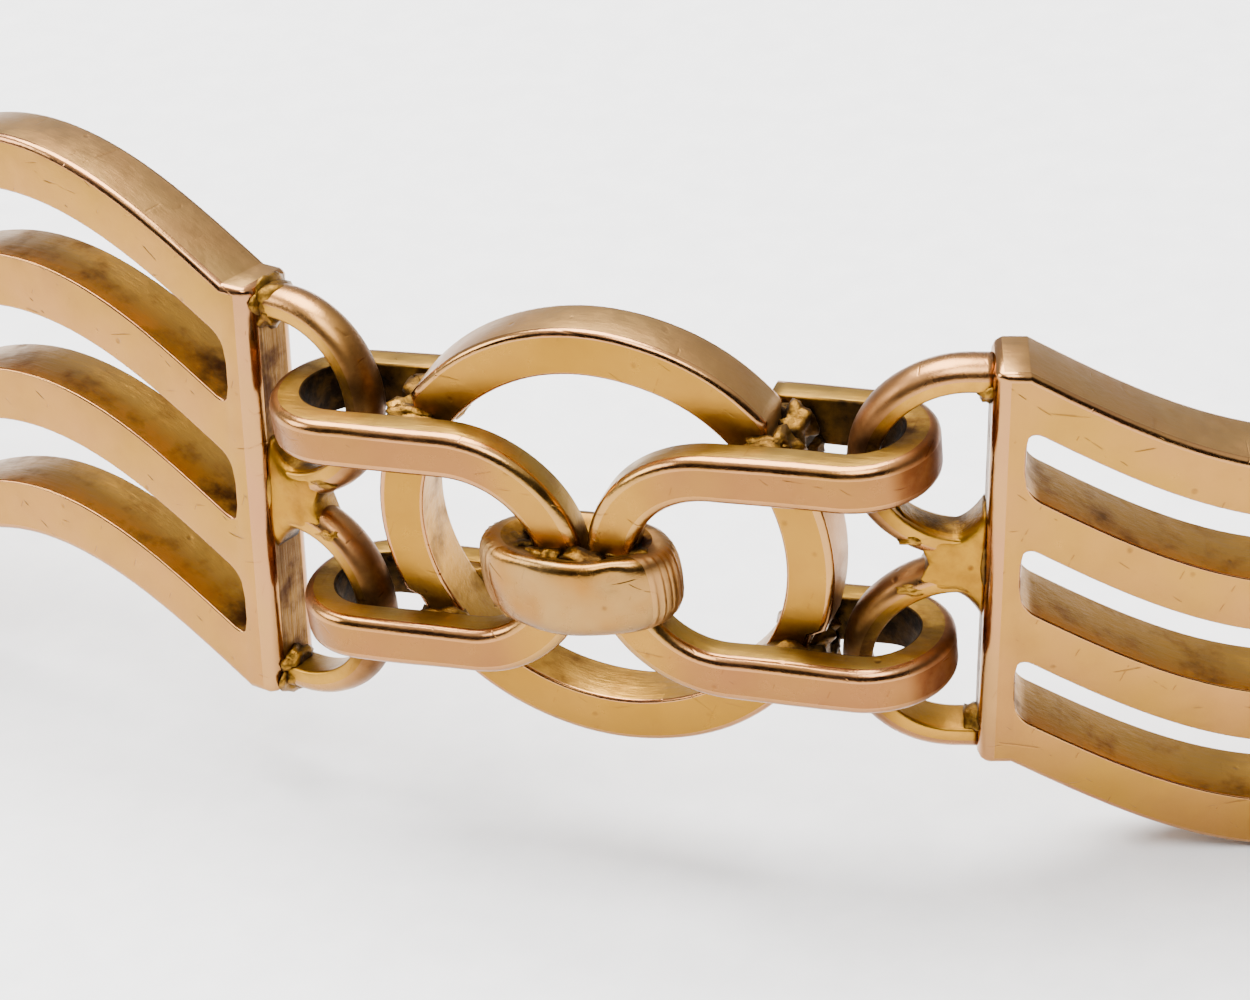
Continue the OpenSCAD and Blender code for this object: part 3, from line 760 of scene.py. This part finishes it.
def hairpins(i, name, sides=(1, -1)):
    """The bent strips of one knot, two to a side."""
    shape = Shape()
    section = rounded_section(-STRIP_T / 2, STRIP_T / 2, -STRIP_H / 2, STRIP_H / 2, 0.05, 0.2)
    numbers = {"face": 0, "corner": 1, "side": 2, "fold": 3, "inner": 3}
    path, outward = hairpin_path()
    for x in sides:
        for z in (1, -1):
            line = [Vector((p.x * x, p.y, p.z * z)) for p in path]
            outs = [Vector((o.x * x, o.y, o.z * z)) for o in outward]
            part = Shape().add(*sweep(line, outs, section, numbers))
            part.wobble(0.035, 2.0, i + 3 * x + 5 * z)
            shape.add(part.verts, part.faces, part.mats)
    make_piece(f"{name}_legs", shape, link_matrix(i), (LEG, LEG_EDGE, LEG_SIDE, LEG_IN),
               f"{name}_hairpins", name)


def collar_wall():
    """The collar: a barrel-sided oval band, grooved round its ends, with hollow ends."""
    turns = 144
    half = COLLAR_H / 2
    section = [(0.0, -0.5), (0.2, -0.78), (0.5, -0.92), (0.7, -0.99), (0.8, -0.94),
               (0.88, -0.83), (0.94, -0.66), (0.975, -0.46), (0.993, -0.22), (1.0, 0.05),
               (0.998, 0.32), (0.985, 0.56), (0.96, 0.76), (0.92, 0.9), (0.85, 0.975),
               (0.74, 0.99), (0.58, 0.88), (0.3, 0.7), (0.0, 0.55)]
    outer_from, outer_to = 3, 15
    side, end, inside = 0, 1, 2
    dings = [(Vector((1.0, -0.85, 0.5)), 0.1, 0.28), (Vector((-0.9, -0.95, 0.25)), 0.05, 0.4),
             (Vector((0.3, -1.05, -0.1)), 0.03, 0.3), (Vector((-1.5, -0.6, -0.3)), 0.05, 0.3)]
    verts, faces, mats = [], [], []
    for k in range(turns):
        t = 2 * math.pi * k / turns
        c, s = math.cos(t), math.sin(t)
        ridge = max(0.0, min(1.0, (abs(c) - 0.8) / 0.08))
        groove = 0.05 * ridge * (0.5 + 0.5 * math.cos(t * 52))
        for f, z in section:
            p = Vector((c * (COLLAR_W / 2 - 0.01), s * (COLLAR_D / 2 - 0.01), 0)) * f
            if f > 0.86:
                p -= Vector((c, s, 0)) * groove
            p.z = z * half
            for ding, depth, spread in dings:
                p -= Vector((c, s, 0)) * depth * math.exp(-((p - ding).length / spread) ** 2)
            verts.append(p + Vector((COLLAR_X, -LEG_Y, COLLAR_Z)))
    width = len(section)
    for k in range(turns):
        n = (k + 1) % turns
        c = math.cos(2 * math.pi * (k + 0.5) / turns)
        for s in range(width - 1):
            faces.append((k * width + s, k * width + s + 1,
                          n * width + s + 1, n * width + s))
            outer_side = outer_from <= s < outer_to
            mats.append((side if abs(c) < 0.83 else end) if outer_side else inside)
    for s in (0, width - 1):
        faces.append(tuple(k * width + s for k in range(turns)))
        mats.append(inside)
    return verts, faces, mats


def collar(i, name):
    """The collar with the solder inside it."""
    shape = Shape().add(*collar_wall())
    shape.wobble(0.05, 1.3, i * 2)
    top = COLLAR_Z + COLLAR_H / 2
    lumps = [(-1.25, -0.15, 0.42), (-0.45, -0.5, 0.36), (0.35, -0.5, 0.42), (1.1, -0.15, 0.4),
             (-0.9, 0.45, 0.4), (0.9, 0.45, 0.4)]
    for k, (x, y, r) in enumerate(lumps):
        for z in (top - 0.16, COLLAR_Z - COLLAR_H / 2 + 0.16):
            shape.add(*blob((x + COLLAR_X, -LEG_Y + y, z), (r, r * 0.75, 0.13),
                            i * 5 + k + z, 0.9), COLLAR_SOLDER)
    make_piece(f"{name}_band", shape, link_matrix(i), (WORN, RIM, WALL, SOLDER),
               f"{name}_collar", name)


for n in range(1, 7):
    gate_plate(2 * n - 1, n)
    loops(2 * n - 1, n)
for n in range(1, 6):
    ring(2 * n, f"knot_{n}")
    hairpins(2 * n, f"knot_{n}")
    collar(2 * n, f"knot_{n}")
for i, side in ((BAR_END, 1), (CLIP_END, -1)):
    ring(i, LINKS[i], (side,))
    hairpins(i, LINKS[i], (side,))
    collar(i, LINKS[i])


# ---------------------------------------------------------------- end fittings
X, Y, Z = Vector((1, 0, 0)), Vector((0, 1, 0)), Vector((0, 0, 1))
JUMP_R, LINK_R, SHACKLE_R, WIRE = 2.4, 2.0, 1.9, 0.4
HANG = math.radians(38)
DOWN_CHAIN = Vector((math.cos(HANG), 0, -math.sin(HANG)))
T_BAR_LEN = 26.0
EYE_R, EYE_WIRE, BARREL_LEN = 1.9, 0.45, 3.6
BARREL_FRONT, BARREL_BACK = -BARREL_LEN / 2, BARREL_LEN / 2
EYE_AT = BARREL_FRONT - 0.15 - EYE_WIRE - EYE_R
HOOK_R, HOOK_BAND, HOOK_HALF, CHEEK_FROM = 3.6, 1.6, 1.38, 0.71
LEVER_LOW, LEVER_HIGH = -0.64, 0.24
HOOK_MID = HOOK_R + HOOK_BAND / 2
HOOK_AT = Vector((BARREL_BACK + HOOK_R + HOOK_BAND - 0.5, 0, 0))
PIVOT = HOOK_AT + HOOK_MID * Vector((math.cos(math.radians(150)), 0.5, 0))


def fitting_matrix(i, node):
    """Millimetres about a fitting's own middle, with X out along the chain's end."""
    yaw = math.radians(POSE[i][0] + (180 if i == BAR_END else 0))
    return (Matrix.Translation(box_centre(node)) @ Matrix.Rotation(yaw, 4, "Z")
            @ Matrix.Scale(MM, 4))


def soldered_ring(i, node, body, normal, radius, seam):
    """A ring of round wire with its soldered seam."""
    shape = Shape().add(*wire_ring(Vector(), normal, radius, WIRE - 0.012))
    shape.wobble(0.03, 1.5, radius * 3 + i)
    shape.add(*blob(seam, (0.36, 0.36, 0.36), i + radius, 0.22), FITTING_SOLDER)
    make_piece(f"{node}_wire", shape, fitting_matrix(i, node), (BAND, SOLDER), node, body)


def t_bar_end():
    """The T-bar with its beads and knobs, its shackle and its jump ring."""
    soldered_ring(BAR_END, "bar_jump_ring", "bar_jump", Y.cross(DOWN_CHAIN), JUMP_R, Y * JUMP_R)
    soldered_ring(BAR_END, "bar_shackle", "bar", Y, SHACKLE_R, Vector((1.7, 0, -0.75)))
    half = T_BAR_LEN / 2
    side = [(half, 0.25), (half - 0.04, 0.5), (half - 0.2, 0.62), (half - 0.32, 0.5)]
    for k in range(13):
        t = math.radians(18 + 138 * k / 12)
        side.append((half - 1.6 + 1.5 * math.cos(t) - 0.16, 1.58 * math.sin(t)))
    for at in (9.85, 9.45, 9.05):
        side += [(at + 0.17, 1.0), (at + 0.14, 1.09), (at - 0.14, 1.09), (at - 0.17, 1.0)]
    side += [(8.6, 0.98), (4.0, 1.04), (2.2, 1.06)]
    for at in (1.9, 1.5):
        side += [(at + 0.17, 1.0), (at + 0.12, 1.09), (at - 0.12, 1.09), (at - 0.17, 1.0)]
    side += [(1.1, 1.07)]
    profile = [(-d, r) for d, r in side] + [(d, r) for d, r in reversed(side)]
    shape = Shape().add(*lathe(profile, Vector(), Y, X, 72))
    shape.wobble(0.02, 2.5, 3)
    make_piece("t_bar_turned", shape, fitting_matrix(BAR_END, "t_bar"), (FACE,), "t_bar", "bar")


def hook_point(degrees, radius, z):
    """A place on the hook, by its angle, radius and height."""
    t = math.radians(degrees)
    return HOOK_AT + Vector((radius * math.cos(t), radius * math.sin(t), z))


def band_along(points, widths, z0, z1):
    """A rounded band swept along the hook's circle, between two heights, with its own width
    at each point."""
    verts, faces = [], []
    steps = 28
    mid, half_z = (z0 + z1) / 2, (z1 - z0) / 2
    for angle, half_w in zip(points, widths):
        for k in range(steps):
            t = 2 * math.pi * k / steps
            c, s = math.cos(t), math.sin(t)
            r = math.copysign(abs(c) ** 0.55, c) * half_w
            z = math.copysign(abs(s) ** 0.55, s) * half_z
            verts.append(hook_point(angle, HOOK_MID + r, mid + z))
    for row in range(len(points) - 1):
        for k in range(steps):
            n = (k + 1) % steps
            faces.append((row * steps + k, row * steps + n,
                          (row + 1) * steps + n, (row + 1) * steps + k))
    for row in (0, len(points) - 1):
        verts.append(hook_point(points[row], HOOK_MID, mid))
        for k in range(steps):
            faces.append((row * steps + k, row * steps + (k + 1) % steps, len(verts) - 1))
    return verts, faces, 0


def swivel_eye(place):
    """The eye with its stem, whose head turns inside the barrel."""
    front = BARREL_FRONT
    eye = Shape().add(*wire_ring(Vector((EYE_AT, 0, 0)), Z, EYE_R, EYE_WIRE - 0.01))
    stem = [(EYE_AT + EYE_R + 0.1, 0.3), (EYE_AT + EYE_R + 0.12, 0.9),
            (EYE_AT + EYE_R + 0.4, 0.95), (front - 0.08, 0.85), (front - 0.06, 0.69),
            (front + 0.85, 0.69), (front + 0.86, 1.08), (front + 2.04, 1.08),
            (front + 2.05, 0.3)]
    eye.add(*lathe(stem, Vector(), X, Y, 48))
    eye.add(*blob((EYE_AT + EYE_R, 0, 0), (0.5, 0.8, 0.42), 5, 0.2), FITTING_SOLDER)
    make_piece("swivel_eye_and_stem", eye, place, (BAND, SOLDER), "swivel_eye", "swivel")


def swivel_barrel(place):
    """The hollow barrel, with shallow turned grooves round it."""
    front = BARREL_FRONT
    wall = [(front + 2.1, 0.3), (front + 2.1, 1.15), (front + 0.8, 1.15), (front + 0.8, 0.75),
            (front, 0.75), (front + 0.02, 1.2), (front + 0.12, 1.36), (front + 0.3, 1.42),
            (front + 0.42, 1.3), (front + 0.5, 1.3), (front + 0.6, 1.5)]
    wall += [(front + 0.6 + 0.19 * k, 1.535 - (0.05 if k % 2 else 0)) for k in range(1, 12)]
    wall += [(front + 2.85, 1.5), (front + 2.95, 1.34), (front + 3.05, 1.34),
             (front + 3.15, 1.48), (front + 3.45, 1.42), (front + 3.6, 1.2), (front + 3.6, 0.3)]
    make_piece("swivel_barrel_turned", Shape().add(*lathe(wall, Vector(), X, Y, 72)), place,
               (FACE,), "swivel_barrel", "clip")


def clip_hook(place):
    """The hook, the two cheeks that hold the lever, and its neck on the barrel."""
    hook = Shape()
    turn = [52 - 233 * k / 60 for k in range(61)]
    taper = [0.45, 0.58, 0.66, 0.7] + [0.7 + 0.08 * k / 56 for k in range(57)]
    hook.add(*band_along(turn, taper, -HOOK_HALF, HOOK_HALF))
    cheeks = [181 - 46 * k / 14 for k in range(15)]
    narrow = [0.76] * 9 + [0.76 * math.sqrt(1 - (k / 6.2) ** 2) for k in range(1, 7)]
    hook.add(*band_along(cheeks, narrow, -HOOK_HALF, -CHEEK_FROM))
    hook.add(*band_along(cheeks, narrow, CHEEK_FROM, HOOK_HALF))
    neck = [(BARREL_BACK - 0.1, 0.4), (BARREL_BACK, 1.1), (BARREL_BACK + 0.3, 0.95),
            (BARREL_BACK + 0.7, 1.05), (BARREL_BACK + 0.9, 0.4)]
    hook.add(*lathe(neck, Vector(), X, Y, 40))
    hook.add(*blob((BARREL_BACK + 0.25, 0, 0), (0.3, 1.05, 1.05), 2, 0.12), FITTING_SOLDER)
    make_piece("clip_hook_forged", hook, place, (BAND, SOLDER), "clip_hook", "clip")


def clip_lever(place):
    """The sprung lever: its arm, its hub on the pin and its thumb nub."""
    lever = Shape()
    arm = [127.5 - 72.5 * k / 30 for k in range(31)]
    wide = [0.62 + 0.04 * min(k, 2) for k in range(27)] + [0.66, 0.6, 0.48, 0.3]
    lever.add(*band_along(arm, wide, LEVER_LOW, LEVER_HIGH))
    root = [152 - 24.5 * k / 8 for k in range(9)]
    lever.add(*band_along(root, [0.5] * 9, LEVER_LOW + 0.02, LEVER_HIGH - 0.02))
    hub = [(LEVER_LOW, 0.43), (LEVER_LOW, 1.0), (LEVER_LOW + 0.08, 1.08),
           (LEVER_HIGH - 0.08, 1.08), (LEVER_HIGH, 1.0), (LEVER_HIGH, 0.43)]
    lever.add(*lathe(hub + [hub[0]], PIVOT, Z, X, 48))
    nub = [(-0.84, 0.3), (-0.84, 0.62), (-0.74, 0.72), (0.3, 0.72), (0.36, 0.6), (0.46, 0.6),
           (0.52, 0.73), (0.8, 0.73), (0.93, 0.6), (0.93, 0.3)]
    lever.add(*lathe(nub, PIVOT + Vector((2.6, 2.2, 0)), Z, X, 48))
    make_piece("clip_lever_arm", lever, place, (FACE,), "clip_lever", "lever")


def lever_pin(place):
    """The lever's pin, riveted over at both ends."""
    pin = [(-1.4, 0.2), (-1.34, 0.36), (-1.2, 0.395), (1.2, 0.395), (1.34, 0.36), (1.4, 0.2)]
    make_piece("lever_pin_riveted", Shape().add(*lathe(pin, PIVOT, Z, X, 40)), place,
               (WORN,), "lever_pin", "clip")


def lever_spring(place):
    """The coil of fine steel wire round the pin, above the lever's hub."""
    path, outward = [], []
    turns, per_turn, coil_r, wire = 3, 28, 0.72, 0.055
    for k in range(turns * per_turn + 1):
        t = 2 * math.pi * k / per_turn
        outward.append(Vector((math.cos(t), math.sin(t), 0)))
        rise = 0.37 + 0.22 * k / (turns * per_turn)
        path.append(PIVOT + outward[-1] * coil_r + Z * rise)
    section = [(wire * math.cos(math.pi * s / 4), wire * math.sin(math.pi * s / 4), "inner")
               for s in range(8)]
    spring = Shape().add(*sweep(path, outward, section, {"inner": 0}))
    make_piece("lever_spring_coil", spring, place, (STEEL,), "lever_spring", "clip")


def clip_end():
    """The swivel clip's end: a jump ring, a link and the clip itself."""
    soldered_ring(CLIP_END, "clip_jump_ring", "clip_jump", Y.cross(DOWN_CHAIN), JUMP_R,
                  Y * JUMP_R)
    soldered_ring(CLIP_END, "clip_link", "link", Y, LINK_R, Z * LINK_R)
    place = fitting_matrix(CLIP_END, "swivel_barrel")
    for make in (swivel_eye, swivel_barrel, clip_hook, clip_lever, lever_pin, lever_spring):
        make(place)


t_bar_end()
clip_end()


# ---------------------------------------------------------------- floor, light and camera
def make_floor():
    """A plain pale floor with a very fine grain, under the lowest point of the chain."""
    bottom = cad_box[0].z
    far = 1.5
    mesh = bpy.data.meshes.new("floor")
    corners = [(-far, -far, bottom), (far, -far, bottom), (far, far, bottom), (-far, far, bottom)]
    mesh.from_pydata(corners, [], [(0, 1, 2, 3)])
    floor = add_to_scene(bpy.data.objects.new("floor", mesh))
    mat = bpy.data.materials.new("floor_pale")
    mat.use_nodes = True
    new, join = node_tools(mat)
    place = new("ShaderNodeTexCoord").outputs["Object"]
    specks = new("ShaderNodeTexNoise", in_Scale=900.0, in_Detail=4.0)
    join(place, specks.inputs["Vector"])
    tint = ramp(new, join, specks.outputs["Fac"], [(0.3, (0.88, 0.88, 0.885)), (0.7, 0.94)])
    grain = new("ShaderNodeBump", in_Strength=0.2, in_Distance=0.1 * MM)
    join(specks.outputs["Fac"], grain.inputs["Height"])
    shader = new("ShaderNodeBsdfPrincipled", in_Roughness=0.9)
    join(tint, shader.inputs["Base Color"])
    join(grain.outputs[0], shader.inputs["Normal"])
    out = new("ShaderNodeOutputMaterial")
    join(shader.outputs[0], out.inputs["Surface"])
    mesh.materials.append(mat)


def make_world():
    """A pale tent, dark where the camera stands and bright overhead."""
    world = bpy.data.worlds.new("tent")
    bpy.context.scene.world = world
    world.use_nodes = True
    new, join = node_tools(world)
    ray = new("ShaderNodeTexCoord").outputs["Generated"]
    split = new("ShaderNodeSeparateXYZ")
    join(ray, split.inputs[0])
    level = new("ShaderNodeVectorMath", operation="MULTIPLY")
    level.inputs[1].default_value = (1, 1, 0)
    join(ray, level.inputs[0])
    heading = new("ShaderNodeVectorMath", operation="NORMALIZE")
    join(level.outputs[0], heading.inputs[0])
    toward = new("ShaderNodeVectorMath", operation="DOT_PRODUCT")
    toward.inputs[1].default_value = (0.33, -0.94, 0.0)
    join(heading.outputs[0], toward.inputs[0])
    front = ramp(new, join, toward.outputs["Value"], [(0.0, 0.0), (0.45, 1.0)])
    low = ramp(new, join, split.outputs["Z"], [(0.0, 1.0), (0.6, 1.0), (0.75, 0.0)])
    high = ramp(new, join, split.outputs["Z"], [(0.55, 0.0), (0.9, 1.0)])
    dark = new("ShaderNodeMath", operation="MULTIPLY")
    join(front, dark.inputs[0])
    join(low, dark.inputs[1])
    colour = blend_colour(new, join, high, (0.66, 0.67, 0.70), (1.5, 1.5, 1.5))
    colour = blend_colour(new, join, dark.outputs[0], colour, (0.03, 0.02, 0.02))
    light = new("ShaderNodeBackground", in_Strength=1.0)
    join(colour, light.inputs["Color"])
    out = new("ShaderNodeOutputWorld")
    join(light.outputs[0], out.inputs["Surface"])


def area_light(name, place, aim, size, power, colour=(1, 1, 1)):
    """A round soft light at a place, turned to its aim."""
    data = bpy.data.lights.new(name, "AREA")
    data.shape = "DISK"
    data.size = size
    data.energy = power
    data.color = colour
    obj = bpy.data.objects.new(name, data)
    obj.location = place
    obj.rotation_mode = "QUATERNION"
    obj.rotation_quaternion = (aim - place).to_track_quat("-Z", "Y")
    add_to_scene(obj)


def make_camera():
    """The view: azimuth, elevation and tilt about the middle knot, in degrees."""
    azimuth, elevation, tilt = (math.radians(a) for a in (22.65, 31.84, -5.75))
    back = Vector((math.sin(azimuth) * math.cos(elevation),
                   -math.cos(azimuth) * math.cos(elevation), math.sin(elevation)))
    level = Vector((math.cos(azimuth), math.sin(azimuth), 0))
    upward = back.cross(level)
    right = level * math.cos(tilt) + upward * math.sin(tilt)
    upward = back.cross(right)
    aim = box_centre("knot_3_ring") + Vector((0.185, 0.356, 0.415)) * MM
    distance = 70.47
    place = aim + back * distance * MM
    data = bpy.data.cameras.new("camera")
    data.sensor_width = 36
    data.lens = 107.9
    data.clip_start, data.clip_end = 0.005, 10
    cam = bpy.data.objects.new("camera", data)
    cam.matrix_world = Matrix((
        (right.x, upward.x, back.x, place.x), (right.y, upward.y, back.y, place.y),
        (right.z, upward.z, back.z, place.z), (0, 0, 0, 1)))
    bpy.context.scene.camera = add_to_scene(cam)


make_floor()
make_world()
middle = box_centre("knot_3_ring")
area_light("overhead", middle + Vector((-0.12, 0.1, 0.4)), middle, 0.35, 6.0, (1, 0.99, 0.98))
area_light("left", middle + Vector((-0.4, -0.15, 0.22)), middle, 0.25, 1.6)
area_light("above_camera", middle + Vector((0.05, -0.16, 0.34)), middle, 0.2, 1.2)
make_camera()
